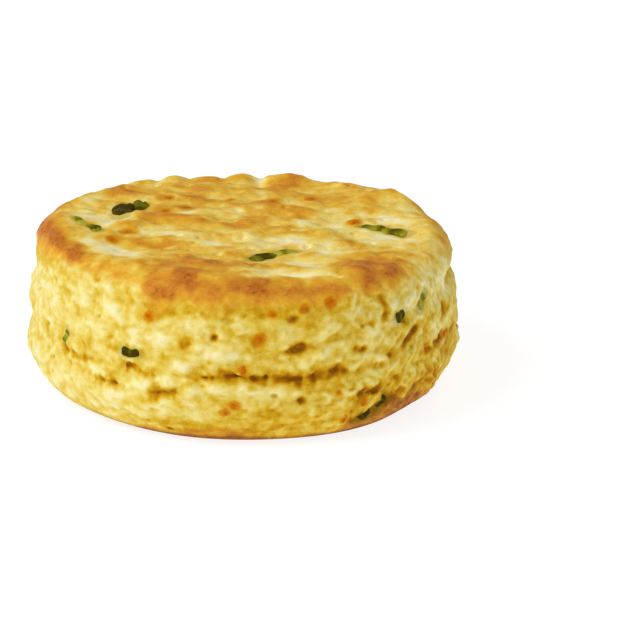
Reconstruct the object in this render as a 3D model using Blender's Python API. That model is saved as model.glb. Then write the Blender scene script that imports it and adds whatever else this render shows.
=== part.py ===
"""A round, hand-cut cheddar and chive biscuit, baked on a tray: one solid piece of bread.

Run with: blender --background --python part.py, or from Blender's text editor.
Metres, +Z up. The origin is the middle of the flat underside, so the biscuit stands on z = 0.
-Y is the front, where the long split between two layers of dough shows. +X is to the right.

The body is a loft of closed rings: underside, foot, wall, rim and top. Each ring's points come from the
named sizes below: a belly that swells at a third of the height, a narrower foot and rim, a top that
slopes and heaves, split seams along the layers, and torn pockets in the wall.
"""

import math

import bmesh
import bpy
from mathutils import Vector, noise

MM = 0.001

# ---- driving dimensions, in millimetres ------------------------------------------------------------
BELLY_R = 38.0          # widest radius of the wall
BELLY_Z = 9.0           # height of the widest ring
FOOT_R = 34.2           # radius the wall heads for at the tray
RIM_R = 35.2            # radius the wall heads for under the rim
HEIGHT = 28.3           # middle of the top above the tray
LEAN = 1.9              # the left rim stands this much higher, and the right one lower
FOOT_ROUND = 2.2        # rounding where the wall meets the tray
RIM_ROUND = 4.6         # rounding of the browned rim
# Out of round: (waves round the edge, share of the radius, angle of a high point in degrees)
OVAL = ((2, 0.017, 40.0), (3, 0.014, 50.0), (5, 0.006, 20.0), (7, 0.004, 100.0))

# Heaves and hollows of the top: (x, y, spread along x, spread along y, height), millimetres.
HEAVES = (
    (-6.0, -31.0, 12.0, 3.6, 0.9),     # front rim, swollen
    (20.5, -25.5, 7.0, 3.8, 0.9),      # front right rim
    (-32.0, -6.0, 4.5, 8.5, 0.9),      # left rim
    (-24.0, 21.0, 8.0, 6.0, 1.2),      # back left rim
    (7.5, 29.5, 5.5, 4.0, 1.3),        # back rim, the highest blister
    (-15.0, 29.5, 4.5, 4.0, 0.9),      # second blister of the back rim
    (26.0, 20.0, 8.0, 6.0, 1.5),       # back right rim
    (33.0, 3.0, 4.0, 7.0, 0.9),        # right rim
    (-13.0, 1.5, 11.0, 2.6, 0.9),      # fold that curves across the left half
    (-20.0, -2.5, 4.0, 2.2, 0.6),
    (9.0, 13.0, 8.0, 5.0, 0.8),        # browned swelling behind the middle
    (13.0, -5.0, 5.5, 2.4, 0.6),
    (-18.0, -13.0, 9.0, 4.5, -0.9),    # hollow behind the front left rim
    (7.0, -19.0, 12.0, 3.2, -0.8),     # hollow behind the front rim
    (-24.0, 9.0, 6.0, 4.5, -0.6),
    (22.0, -1.0, 7.0, 4.0, -0.7),
    (0.0, 5.5, 10.0, 2.6, -0.5),
)

# Seams between the layers of dough: (angle of the middle, half length, both in degrees, height at the
# middle, rise per radian, depth, half width, waviness), millimetres. -90 degrees is the front.
SEAMS = (
    (-86.5, 21.0, 12.3, 0.2, 2.2, 0.75, 0.5),    # the long front split
    (-122.0, 15.0, 11.0, 3.0, 1.0, 0.6, 0.4),    # runs on from it, lower on the left
    (-55.0, 14.0, 8.4, 1.0, 1.0, 0.6, 0.5),
    (-27.0, 18.0, 24.0, -0.6, 1.1, 0.7, 0.4),    # under the right rim
    (186.0, 20.0, 24.4, 0.8, 0.9, 0.7, 0.4),     # under the left rim
    (22.0, 26.0, 10.8, 0.8, 1.8, 0.75, 0.6),
    (86.0, 31.0, 12.4, -0.4, 2.0, 0.75, 0.6),
    (140.0, 21.0, 9.2, 0.7, 1.6, 0.7, 0.5),
)

# Torn pockets in the wall: (angle in degrees, height, half width, half height, depth), millimetres.
POCKETS = (
    (-78.6, 17.6, 2.6, 1.1, 1.7),
    (-44.0, 16.0, 2.2, 1.3, 1.4),
    (-114.0, 9.0, 2.4, 0.9, 1.2),
    (-130.5, 9.1, 2.3, 0.8, 1.2),
    (-25.5, 18.2, 1.3, 2.2, 1.2),
    (-30.0, 12.0, 2.2, 1.3, 1.2),
    (-148.0, 12.4, 2.0, 1.6, 1.1),
    (-168.0, 14.0, 2.2, 1.3, 1.2),
    (150.0, 17.0, 2.6, 1.2, 1.4),
    (112.0, 19.0, 2.4, 1.1, 1.3),
    (70.0, 17.0, 2.8, 1.2, 1.5),
    (40.0, 19.5, 2.2, 1.1, 1.2),
)

# ---- resolution ------------------------------------------------------------------------------------
AROUND = 112            # points in a ring
UNDER_RINGS = 4         # rings of the underside, foot not counted
FOOT_STEPS = 2
RIM_STEPS = 4
TOP_RINGS = 10
WALL_LIFT = (0.0, 0.10, 0.20, 0.29, 0.36, 0.41, 0.46, 0.51, 0.57, 0.65, 0.75, 0.85, 0.95)   # shares of the wall


def roundness(theta):
    """Share by which the outline differs from a circle at this angle."""
    return 1.0 + sum(a * math.cos(k * (theta - math.radians(p))) for k, a, p in OVAL)


def top_height(x, y):
    """Height of the top at a point, before the rim rounds it off."""
    z = HEIGHT - LEAN * x / RIM_R
    for cx, cy, sx, sy, h in HEAVES:
        z += h * math.exp(-((x - cx) / sx) ** 2 - ((y - cy) / sy) ** 2)
    z += 0.45 * noise.noise(Vector((x, y, 3.0)) / 6.5) + 0.30 * noise.noise(Vector((x, y, 41.0)) / 3.4)
    return z


def wall_radius(theta, z, top):
    """Radius of the wall at an angle and a height, before seams and pockets are cut."""
    if z < BELLY_Z:
        r = BELLY_R - (BELLY_R - FOOT_R) * ((z - BELLY_Z) / BELLY_Z) ** 2
    else:
        r = BELLY_R - (BELLY_R - RIM_R) * ((z - BELLY_Z) / (top - BELLY_Z)) ** 2
    return r * roundness(theta)


def turned(theta, middle_deg):
    """Signed angle from middle_deg to theta, in radians, within half a turn."""
    return (theta - math.radians(middle_deg) + math.pi) % (2 * math.pi) - math.pi


def seam_depth(theta, z):
    """How far the seams cut in at a point of the wall."""
    deep = 0.0
    for middle, half, height, rise, depth, width, wave in SEAMS:
        t = turned(theta, middle)
        share = abs(t) / math.radians(half)
        if share < 1.0:
            line = height + rise * t + wave * math.sin(9.0 * t + middle)
            across = (z - line) / (width * 1.5)
            deep = max(deep, depth * (1.0 - share ** 3) * math.exp(-across * across))
    return deep


def pocket_depth(theta, z, r):
    """How far the torn pockets cut in at a point of the wall."""
    deep = 0.0
    for middle, height, half_w, half_h, depth in POCKETS:
        u = turned(theta, middle) * r / (half_w * 1.1)
        v = (z - height) / (half_h * 1.3)
        deep = max(deep, depth * math.exp(-u * u - v * v))
    return deep


def lump(theta, z, r):
    """Unevenness of the wall: broad swellings and torn, curdled lumps."""
    p = Vector((r * math.cos(theta), r * math.sin(theta), z))
    broad = noise.noise(Vector((p.x, p.y, p.z * 1.3)) / 9.0)
    curds = noise.noise(Vector((p.x, p.y, p.z * 1.5 + 50.0)) / 3.8)
    return 0.55 * broad + 0.45 * curds


def rings():
    """Rings of points from just off the middle of the underside to just off the middle of the top."""
    angles = [2.0 * math.pi * i / AROUND for i in range(AROUND)]

    def ring(place):
        return [place(t) for t in angles]

    def at(theta, r, z):
        return (r * math.cos(theta), r * math.sin(theta), z)

    def edge(theta):
        """Top height under which the rim rounds off at this angle."""
        r = (RIM_R - RIM_ROUND) * roundness(theta)
        return top_height(r * math.cos(theta), r * math.sin(theta))

    def foot_lift(theta):
        """The foot meets the tray flat, with a little waviness in its outline only."""
        return 0.25 * noise.noise(Vector((math.cos(theta), math.sin(theta), 7.0)) * 4.0)

    made = []
    sole = FOOT_R - FOOT_ROUND
    for i in range(1, UNDER_RINGS + 1):
        share = (i / UNDER_RINGS) ** 0.8
        made.append(ring(lambda t: at(t, (sole * share + foot_lift(t) * share) * roundness(t), 0.0)))

    for i in range(1, FOOT_STEPS + 1):
        a = 0.5 * math.pi * i / (FOOT_STEPS + 1)
        z = FOOT_ROUND * (1.0 - math.cos(a))
        made.append(
            ring(
                lambda t: at(
                    t,
                    wall_radius(t, z, edge(t)) - FOOT_ROUND * (1.0 - math.sin(a)) + 0.4 * lump(t, z, BELLY_R) * math.sin(a),
                    z,
                )
            )
        )

    for share in WALL_LIFT:
        def wall(t):
            top = edge(t)
            z = FOOT_ROUND + share * (top - RIM_ROUND - FOOT_ROUND)
            r = wall_radius(t, z, top)
            ease = min(1.0, 0.4 + 3.0 * share)
            cut = seam_depth(t, z) + pocket_depth(t, z, r)
            return at(t, r + ease * lump(t, z, BELLY_R) - cut, z)
        made.append(ring(wall))

    for i in range(0, RIM_STEPS):
        a = 0.5 * math.pi * i / RIM_STEPS
        def rim(t):
            top = edge(t)
            z = top - RIM_ROUND * (1.0 - math.sin(a))
            r = wall_radius(t, top - RIM_ROUND, top) - RIM_ROUND * (1.0 - math.cos(a))
            fade = math.cos(a)
            return at(t, r + fade * (lump(t, z, BELLY_R) - 0.6 * seam_depth(t, z)), z)
        made.append(ring(rim))

    for i in range(TOP_RINGS):
        share = 1.0 - i / TOP_RINGS
        def top_ring(t):
            top = edge(t)
            outer = wall_radius(t, top - RIM_ROUND, top) - RIM_ROUND
            r = outer * share
            x, y = r * math.cos(t), r * math.sin(t)
            blend = min(1.0, (1.0 - share) * 4.0)
            return (x, y, top * (1.0 - blend) + top_height(x, y) * blend)
        made.append(ring(top_ring))
    return made


def middle(loops):
    """Middle of the plan view, which goes to the origin."""
    xs = [p[0] for ring in loops for p in ring]
    ys = [p[1] for ring in loops for p in ring]
    return Vector((0.5 * (min(xs) + max(xs)), 0.5 * (min(ys) + max(ys)), 0.0))


def biscuit_mesh():
    mesh = bpy.data.meshes.new("biscuit")
    bm = bmesh.new()
    shaped = rings()
    shift = middle(shaped)
    loops = [[bm.verts.new((Vector(p) - shift) * MM) for p in ring] for ring in shaped]
    for low, high in zip(loops, loops[1:]):
        for i in range(AROUND):
            j = (i + 1) % AROUND
            bm.faces.new((low[i], low[j], high[j], high[i]))
    under = bm.verts.new(-shift * MM)
    crown = bm.verts.new((Vector((0.0, 0.0, top_height(0.0, 0.0))) - shift) * MM)
    for i in range(AROUND):
        j = (i + 1) % AROUND
        bm.faces.new((under, loops[0][j], loops[0][i]))
        bm.faces.new((crown, loops[-1][i], loops[-1][j]))
    bmesh.ops.recalc_face_normals(bm, faces=bm.faces)
    bm.to_mesh(mesh)
    bm.free()
    mesh.shade_smooth()
    mesh.set_sharp_from_angle(angle=math.radians(70.0))
    return mesh


def crust_material():
    material = bpy.data.materials.new("baked_dough")
    material.use_nodes = True
    shader = material.node_tree.nodes["Principled BSDF"]
    shader.inputs["Base Color"].default_value = (0.72, 0.46, 0.12, 1.0)
    shader.inputs["Roughness"].default_value = 0.72
    shader.inputs["Metallic"].default_value = 0.0
    return material


def main():
    for obj in list(bpy.data.objects):
        bpy.data.objects.remove(obj)
    biscuit = bpy.data.objects.new("biscuit", biscuit_mesh())
    biscuit.data.materials.append(crust_material())
    bpy.context.scene.collection.objects.link(biscuit)


main()
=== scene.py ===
"""Looks of the cheddar and chive biscuit.

The crumb and crust are one mesh, cut from a signed distance field on a fine grid: the biscuit's rounded
body, its curds and layers, and the splits and torn pits in its wall. Chives and cheese specks are pieces
of their own, each sunk into the dough. Lengths below are in millimetres and angles in degrees, with
-90 at the front, unless a name says otherwise.
"""

import math

import bpy
import numpy as np
import openvdb as vdb
from mathutils import Matrix, Vector


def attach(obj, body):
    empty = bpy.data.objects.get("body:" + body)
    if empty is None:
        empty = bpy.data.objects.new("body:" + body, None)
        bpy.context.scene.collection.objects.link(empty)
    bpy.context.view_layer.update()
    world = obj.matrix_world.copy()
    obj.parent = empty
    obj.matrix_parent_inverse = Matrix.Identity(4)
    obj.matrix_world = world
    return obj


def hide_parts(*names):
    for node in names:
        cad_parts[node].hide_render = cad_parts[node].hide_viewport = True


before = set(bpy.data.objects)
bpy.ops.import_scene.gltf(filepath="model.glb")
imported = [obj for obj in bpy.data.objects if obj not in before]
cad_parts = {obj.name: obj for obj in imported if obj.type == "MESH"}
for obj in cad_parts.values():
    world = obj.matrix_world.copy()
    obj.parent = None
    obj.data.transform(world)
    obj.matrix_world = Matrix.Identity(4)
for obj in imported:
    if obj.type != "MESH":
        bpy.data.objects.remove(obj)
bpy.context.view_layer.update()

MM = 0.001
VOXEL = 0.36
MOST_TRIANGLES = 192_000
FLOAT = np.float32

# ---- body ------------------------------------------------------------------------------------------
AXIS = (0.4, 0.2)       # where the round body's axis stands
BELLY_R, BELLY_Z = 38.0, 9.0
FOOT_R, RIM_R = 34.2, 35.8
HEIGHT, LEAN = 28.2, 1.5
FOOT_ROUND, RIM_ROUND = 1.8, 4.0
OVAL = ((2, 0.017, 40.0), (3, 0.014, 50.0), (5, 0.006, 20.0), (7, 0.004, 100.0))

# Swellings and dents of the outline: (angle, height, spread along the wall, spread in height, amount)
OUTLINE = (
    (-176.0, 8.0, 12.0, 5.0, 0.5),
    (-5.0, 8.0, 12.0, 3.6, 0.3),
    (-2.0, 19.8, 11.0, 1.7, -1.9),
    (180.0, 21.4, 9.0, 1.4, -0.7),
    (181.0, 12.2, 7.0, 1.2, -0.7),
    (-135.0, 0.5, 26.0, 3.4, -1.0),
    (-38.0, 1.0, 14.0, 4.0, -0.5),
)

# Heaves and hollows of the top: (x, y, spread along x, spread along y, height)
HEAVES = (
    (-6.0, -31.0, 12.0, 3.6, 0.9),
    (20.5, -25.5, 7.0, 3.8, 0.9),
    (-32.0, -6.0, 4.5, 8.5, 0.9),
    (-24.0, 21.0, 8.0, 6.0, 0.3),
    (22.5, 26.5, 2.5, 3.0, 0.6),
    (28.5, 19.5, 2.6, 4.0, 0.5),
    (8.5, 30.5, 4.6, 3.6, 1.2),
    (-0.8, 30.0, 1.8, 3.0, 0.5),
    (-3.9, 30.5, 1.0, 4.0, -0.6),
    (-6.8, 29.5, 1.7, 3.0, 0.4),
    (-12.6, 28.5, 1.8, 3.6, 0.6),
    (-15.8, 28.0, 1.2, 4.0, -0.4),
    (-10.0, 30.0, 1.2, 4.0, -0.4),
    (2.9, 31.0, 1.3, 5.0, -1.0),
    (17.5, 27.0, 3.0, 4.0, 0.7),
    (26.0, 20.0, 8.0, 6.0, 1.7),
    (33.0, 3.0, 4.0, 7.0, 1.1),
    (-13.0, 1.5, 11.0, 2.6, 1.0),
    (-20.0, -3.0, 3.6, 2.2, 0.8),
    (9.0, 13.0, 8.0, 5.0, 0.8),
    (13.0, -3.5, 4.5, 2.4, 0.8),
    (19.5, -20.0, 6.0, 3.4, 0.5),
    (-9.0, -23.5, 7.0, 2.6, 0.6),
    (-20.0, -14.0, 8.0, 4.0, -1.0),
    (7.0, -18.0, 12.0, 3.4, -0.8),
    (7.5, -27.5, 4.5, 1.8, -0.7),
    (-26.0, 4.0, 5.0, 4.5, -0.7),
    (22.0, -3.0, 7.0, 3.6, -0.8),
    (0.0, -8.5, 10.0, 2.6, -0.6),
    (16.0, 4.0, 3.0, 4.0, -0.5),
)

# Splits along the layers: (angle of the middle, half length, height, rise over the whole length,
# depth, half width at the mouth, waviness, how far they are browned)
SPLITS = (
    (-84.5, 21.5, 12.9, 0.0, 0.78, 0.88, 0.35, 0.31),
    (-118.0, 4.4, 12.6, -0.8, 0.7, 0.80, 0.1, 0.34),
    (-128.2, 4.2, 9.6, 0.2, 0.6, 0.75, 0.1, 0.28),
    (-112.0, 4.6, 9.4, 0.8, 0.7, 0.90, 0.2, 0.34),
    (-57.6, 4.0, 8.4, 0.4, 0.8, 0.75, 0.2, 0.32),
    (-136.0, 9.0, 12.6, 0.6, 0.35, 0.60, 0.3, 0.16),
    (-18.0, 12.0, 12.0, -1.4, 0.7, 0.65, 0.4, 0.17),
    (20.0, 26.0, 11.0, 1.2, 1.4, 0.90, 0.6, 0.28),
    (86.0, 31.0, 12.6, -1.2, 1.5, 0.95, 0.6, 0.30),
    (140.0, 20.0, 9.6, 1.6, 1.3, 0.85, 0.5, 0.28),
    (62.0, 12.0, 18.4, 1.0, 0.9, 0.70, 0.4, 0.22),
    (168.0, 10.0, 17.6, -0.8, 0.9, 0.70, 0.4, 0.22),
)

# Torn pits in the wall: (angle, height, half width, half height, depth, tilt, how far they are browned)
PITS = (
    (-76.6, 17.6, 2.2, 0.9, 1.0, 10.0, 0.46),
    (-98.4, 19.8, 0.7, 0.6, 0.5, 0.0, 0.34),
    (-61.0, 16.4, 0.8, 0.6, 0.4, 0.0, 0.26),
    (-105.6, 18.6, 0.8, 1.6, 0.25, -10.0, 0.08),
    (-43.0, 15.2, 1.3, 0.7, 0.6, 30.0, 0.44),
    (-39.4, 16.6, 1.3, 0.7, 0.6, 36.0, 0.46),
    (-32.5, 12.0, 1.4, 0.8, 0.5, -30.0, 0.28),
    (-76.3, 8.7, 0.9, 0.7, 0.6, 0.0, 0.36),
    (-47.6, 9.4, 1.1, 0.8, 0.5, 0.0, 0.38),
    (-55.0, 8.4, 1.6, 0.7, 0.4, 20.0, 0.32),
    (-144.5, 12.6, 1.0, 1.1, 0.5, 0.0, 0.30),
    (-49.5, 13.9, 1.1, 1.0, 0.4, 0.0, 0.16),
    (-59.0, 16.2, 1.0, 0.7, 0.4, 0.0, 0.30),
    (-67.0, 13.2, 1.5, 0.8, 0.5, 20.0, 0.34),
    (-127.0, 17.8, 0.6, 0.5, 0.25, 0.0, 0.12),
    (-78.0, 22.6, 0.8, 0.5, 0.35, 15.0, 0.36),
    (-51.0, 21.4, 1.2, 0.7, 0.4, 50.0, 0.30),
    (-56.5, 20.4, 1.4, 0.6, 0.35, -30.0, 0.22),
    (-20.5, 17.4, 1.6, 1.0, 0.4, 0.0, 0.34),
    (-22.5, 12.6, 2.4, 0.8, 0.4, -10.0, 0.16),
    (-53.6, 4.8, 2.4, 0.9, 0.7, 34.0, 0.56),
    (-58.0, 3.6, 1.8, 0.7, 0.5, 20.0, 0.48),
    (-39.0, 5.4, 2.0, 0.8, 0.5, 20.0, 0.40),
    (-140.0, 20.2, 0.6, 1.1, 0.3, -15.0, 0.16),
    (20.0, 18.0, 2.0, 0.9, 1.0, 12.0, 0.34),
    (47.0, 12.4, 1.6, 1.0, 0.8, -10.0, 0.30),
    (104.0, 18.6, 2.2, 0.9, 1.0, 8.0, 0.36),
    (126.0, 14.0, 1.4, 1.2, 0.7, 0.0, 0.28),
    (176.0, 12.8, 1.8, 0.9, 0.8, -14.0, 0.30),
    (73.0, 6.4, 1.3, 0.9, 0.7, 0.0, 0.30),
    (151.0, 5.6, 1.5, 0.8, 0.6, 18.0, 0.28),
)

# Pale curds that stand out of the wall: (angle, height, half width, half height, how far, tilt)
CURDS = (
    (-92.0, 10.9, 4.6, 1.1, 0.45, 0.0),
    (-82.0, 10.6, 3.0, 1.0, 0.35, 0.0),
    (-72.5, 15.9, 3.4, 0.8, 0.6, 28.0),
    (-70.0, 19.6, 2.8, 0.7, 0.35, 24.0),
    (-113.0, 18.6, 1.8, 1.1, 0.45, 0.0),
    (-106.5, 14.4, 1.6, 1.0, 0.4, 0.0),
    (-117.0, 10.6, 2.0, 0.9, 0.4, -10.0),
    (-110.5, 11.2, 1.5, 0.9, 0.4, 10.0),
    (-125.0, 8.0, 2.0, 0.9, 0.4, 0.0),
    (-131.0, 11.6, 1.6, 0.9, 0.3, 0.0),
    (-139.0, 22.6, 2.4, 1.6, 0.4, 30.0),
    (-127.0, 22.0, 2.2, 1.3, 0.35, -20.0),
    (-103.0, 21.2, 1.6, 1.0, 0.3, 0.0),
    (-104.0, 10.6, 1.6, 0.9, 0.35, 0.0),
    (-97.0, 17.0, 2.6, 1.4, 0.3, 0.0),
    (-56.0, 19.0, 1.8, 1.2, 0.3, 0.0),
)

# Broad pale places of the wall: (angle, height, half width, half height, amount, tilt)
WALL_PALE = (
    (-41.0, 22.4, 9.0, 3.4, 0.20, 0.0),
    (-17.0, 21.4, 6.0, 3.6, 0.34, 0.0),
    (-19.0, 13.8, 3.4, 1.4, 0.15, 0.0),
    (-112.0, 18.8, 3.4, 1.8, 0.10, 0.0),
    (-100.0, 16.4, 3.0, 1.8, 0.10, 0.0),
    (-131.0, 18.0, 4.0, 2.0, 0.12, 0.0),
    (-27.0, 14.4, 4.0, 1.4, 0.14, 0.0),
    (-160.0, 20.0, 6.0, 6.0, 0.12, 0.0),
    (-161.0, 8.6, 5.0, 2.8, 0.13, 0.0),
    (-152.0, 5.0, 10.0, 3.6, 0.13, 0.0),
    (-130.0, 14.6, 4.0, 2.8, 0.10, 0.0),
    (-129.0, 5.4, 6.0, 2.6, 0.12, 0.0),
    (-110.0, 5.8, 6.0, 2.2, 0.14, 0.0),
    (-90.0, 10.2, 3.4, 1.0, 0.10, 0.0),
    (-61.5, 13.4, 2.6, 1.6, 0.12, 20.0),
    (-60.0, 22.2, 3.6, 1.8, 0.12, 0.0),
    (-80.0, 21.8, 3.0, 1.2, 0.10, 0.0),
    (-39.0, 18.8, 3.0, 1.4, 0.12, 0.0),
)

# Yellow and golden blots of the wall: (angle, height, half width, half height, amount, tilt)
BLOTS = (
    (-86.8, 19.2, 1.5, 1.8, 0.26, 0.0),
    (-50.5, 4.6, 4.6, 2.2, 0.85, 24.0),
    (-58.5, 3.4, 3.0, 1.2, 0.56, 10.0),
    (-41.5, 15.9, 3.0, 1.0, 0.36, 30.0),
    (-33.0, 11.7, 2.0, 1.2, 0.24, -30.0),
    (-22.0, 12.3, 4.0, 1.1, 0.26, -10.0),
    (-20.5, 17.3, 2.4, 1.2, 0.32, 0.0),
    (-56.0, 8.6, 2.6, 0.8, 0.26, 10.0),
    (-32.0, 7.2, 5.0, 2.4, 0.34, 0.0),
    (-49.0, 8.6, 5.0, 3.0, 0.20, 0.0),
    (-75.0, 11.2, 4.6, 1.5, 0.27, 0.0),
    (-130.0, 10.4, 4.4, 1.6, 0.17, 0.0),
    (-105.6, 18.4, 0.9, 1.8, 0.20, -10.0),
    (-86.0, 6.8, 7.0, 1.8, 0.21, 0.0),
    (-88.0, 4.0, 8.0, 1.4, 0.12, 0.0),
    (-41.0, 6.6, 7.0, 3.0, 0.24, 0.0),
    (-20.0, 9.4, 5.0, 2.6, 0.22, 0.0),
    (-103.0, 16.8, 1.6, 0.8, 0.28, 20.0),
    (-146.0, 23.4, 1.8, 1.2, 0.26, 0.0),
    (-155.0, 14.0, 1.8, 0.9, 0.24, 0.0),
    (-135.0, 15.8, 1.1, 1.1, 0.26, 0.0),
    (-127.0, 16.6, 1.2, 1.0, 0.26, 0.0),
    (-126.0, 20.0, 1.0, 0.9, 0.24, 0.0),
    (-119.0, 13.4, 3.4, 0.7, 0.20, 0.0),
    (-136.0, 12.6, 4.2, 0.7, 0.26, 4.0),
    (-108.0, 3.6, 2.8, 1.4, 0.26, 0.0),
    (-99.0, 14.8, 2.6, 0.7, 0.24, 0.0),
    (-74.0, 20.4, 1.4, 0.8, 0.18, 24.0),
    (-82.0, 16.4, 0.8, 0.8, 0.22, 0.0),
    (-67.5, 10.6, 1.6, 2.0, 0.22, 0.0),
    (-72.0, 6.0, 1.0, 1.0, 0.20, 0.0),
    (-62.0, 12.4, 2.8, 1.0, 0.22, 20.0),
    (-59.0, 8.6, 3.0, 2.0, 0.20, 0.0),
    (-52.0, 13.4, 1.2, 1.8, 0.22, 0.0),
    (-51.0, 23.0, 0.7, 1.8, 0.30, 0.0),
    (-44.0, 18.4, 1.3, 0.8, 0.34, 0.0),
    (-34.0, 11.0, 4.0, 2.4, 0.20, 0.0),
    (-56.0, 4.8, 4.6, 1.6, 0.24, 10.0),
    (-42.0, 3.0, 6.0, 1.6, 0.28, 0.0),
    (-95.0, 7.0, 5.0, 1.8, 0.13, 0.0),
    (5.0, 10.0, 3.4, 1.2, 0.22, 0.0),
    (30.0, 21.0, 2.0, 1.4, 0.26, 0.0),
    (55.0, 15.0, 2.6, 1.0, 0.22, 0.0),
    (82.0, 8.0, 2.0, 1.6, 0.24, 0.0),
    (98.0, 21.0, 1.6, 1.2, 0.24, 0.0),
    (118.0, 9.0, 3.0, 1.0, 0.24, 0.0),
    (146.0, 19.0, 1.6, 1.6, 0.22, 0.0),
    (166.0, 6.0, 2.6, 1.2, 0.22, 0.0),
)

# ---- colour fields, as amounts in places ---------------------------------------------------------------
# Browned places on the top: (x, y, spread along x, spread along y, amount)
BROWNED = (
    (-34.0, -7.0, 3.2, 6.5, 0.64),
    (-32.5, -14.5, 3.2, 4.5, 0.52),
    (-29.4, -18.0, 2.8, 3.2, 0.88),
    (-15.0, -12.0, 4.4, 1.8, 0.82),
    (-22.5, -10.5, 1.2, 1.8, 0.70),
    (-20.4, -6.5, 1.2, 2.0, 0.72),
    (-16.6, 0.0, 2.0, 2.0, 0.40),
    (-6.0, 14.0, 4.4, 3.0, 0.30),
    (3.0, 6.0, 2.6, 2.6, 0.26),
    (9.0, -31.2, 3.0, 1.4, 0.30),
    (10.0, -36.6, 4.0, 2.0, 0.50),
    (-12.5, 1.6, 4.5, 1.8, 0.36),
    (-3.0, 0.0, 4.4, 2.0, 0.50),
    (-14.0, -27.0, 3.2, 3.2, 0.62),
    (-9.0, -24.0, 3.2, 2.6, 0.66),
    (-10.0, -31.0, 2.2, 4.0, 0.76),
    (-7.0, -36.0, 2.4, 2.2, 0.52),
    (-4.0, -24.8, 3.0, 1.8, 0.50),
    (-4.0, -28.0, 3.0, 3.0, 0.40),
    (1.0, -23.2, 2.0, 2.0, 0.68),
    (-1.5, -34.0, 5.0, 2.4, 0.50),
    (5.5, -34.6, 4.5, 2.2, 0.55),
    (12.0, -34.0, 4.0, 2.4, 0.55),
    (3.0, -36.8, 8.0, 2.0, 0.60),
    (21.0, -18.0, 3.6, 3.4, 0.66),
    (24.0, -20.5, 3.0, 3.4, 0.70),
    (21.0, -26.0, 3.2, 3.6, 0.62),
    (17.0, -22.5, 3.0, 3.4, 0.42),
    (26.2, -12.6, 2.6, 2.4, 0.34),
    (13.0, -2.4, 3.0, 1.6, 0.34),
    (18.0, -8.0, 1.6, 2.4, 0.42),
    (2.5, 2.0, 2.8, 4.0, 0.35),
    (9.5, 8.0, 2.8, 3.8, 0.50),
    (4.8, 12.8, 1.8, 2.4, 0.70),
    (12.3, 19.0, 1.7, 2.4, 0.76),
    (8.0, 26.5, 4.5, 3.6, 0.50),
    (9.0, 33.0, 5.0, 2.6, 0.33),
    (-10.5, 10.0, 1.6, 2.0, 0.84),
    (-10.0, 17.0, 3.0, 1.8, 0.34),
    (-8.0, 22.4, 4.4, 3.4, 0.60),
    (-2.4, 15.0, 1.6, 2.4, 0.68),
    (-14.2, 15.0, 1.3, 2.0, 0.66),
    (-15.0, 7.4, 1.3, 2.2, 0.52),
    (-22.0, 18.0, 4.0, 2.6, 0.50),
    (-6.0, 28.0, 3.0, 2.0, 0.45),
    (20.0, 5.0, 1.4, 2.4, 0.62),
    (33.0, 6.0, 1.6, 4.0, 0.35),
    (19.0, 20.0, 5.0, 5.0, 0.24),
)

# Pale, underbaked places on the top: (x, y, spread along x, spread along y, amount)
PALE = (
    (-24.0, -15.0, 2.4, 3.2, 0.9),
    (-20.5, -18.6, 3.2, 2.6, 0.95),
    (-26.5, -11.8, 2.2, 2.4, 0.85),
    (-10.0, 5.4, 1.6, 2.6, 0.7),
    (-2.0, 8.0, 2.6, 3.0, 0.6),
    (-13.0, -7.0, 6.0, 2.2, 0.7),
    (-6.0, -11.0, 5.0, 2.4, 0.7),
    (4.0, -9.0, 6.0, 2.4, 0.75),
    (13.0, -12.0, 3.0, 3.0, 0.8),
    (9.5, -18.5, 3.4, 2.8, 1.0),
    (7.0, -27.4, 5.0, 2.4, 0.8),
    (13.0, -29.0, 3.0, 2.2, 0.7),
    (16.5, 2.0, 2.8, 3.4, 0.8),
    (9.5, 2.6, 2.6, 2.0, 0.5),
    (15.0, 9.0, 1.8, 3.6, 0.5),
    (24.0, -7.0, 4.0, 2.4, 0.8),
    (26.0, 6.0, 4.0, 2.4, 0.7),
    (29.0, 13.0, 2.6, 4.0, 0.5),
    (31.5, -3.0, 3.4, 6.0, 0.42),
    (31.0, -14.0, 3.0, 5.0, 0.55),
    (27.0, -26.0, 2.4, 3.0, 0.45),
    (-26.0, 4.0, 4.0, 3.4, 0.6),
    (-28.0, 11.0, 2.4, 3.0, 0.5),
    (-25.5, -0.8, 3.8, 2.6, 0.8),
    (3.0, 27.5, 3.0, 1.4, 0.6),
    (3.0, 31.0, 3.0, 1.4, 0.5),
    (24.0, -1.6, 4.2, 2.4, 0.7),
    (17.5, -30.5, 3.0, 2.0, 0.5),
    (3.0, -30.8, 4.0, 1.4, 0.4),
    (9.5, -6.2, 3.2, 2.0, 0.8),
    (29.0, -20.5, 2.2, 4.0, 0.5),
    (-22.5, 0.6, 2.6, 1.8, 0.7),
    (-6.0, -12.2, 4.4, 1.8, 0.6),
    (17.5, -0.4, 5.0, 1.8, 0.5),
    (21.5, -6.2, 3.0, 1.8, 0.5),
    (27.5, -5.0, 3.0, 2.6, 0.6),
    (-27.5, 1.0, 2.2, 2.0, 0.5),
)

# How far down the wall the browned rim reaches: (angle, half width of the patch, depth below the rim, amount)
RIM_BROWN = (
    (-90.0, 26.0, 3.6, 0.50),
    (-114.0, 5.0, 5.0, 0.58),
    (-101.0, 4.0, 3.4, 0.34),
    (-50.0, 7.0, 3.2, 0.50),
    (-176.0, 21.0, 4.2, 0.68),
    (-152.0, 9.0, 2.0, 0.26),
    (-132.0, 14.0, 1.6, 0.14),
    (-20.0, 22.0, 2.2, 0.12),
    (40.0, 40.0, 3.4, 0.45),
    (100.0, 30.0, 3.8, 0.55),
    (145.0, 20.0, 3.0, 0.40),
)

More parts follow.
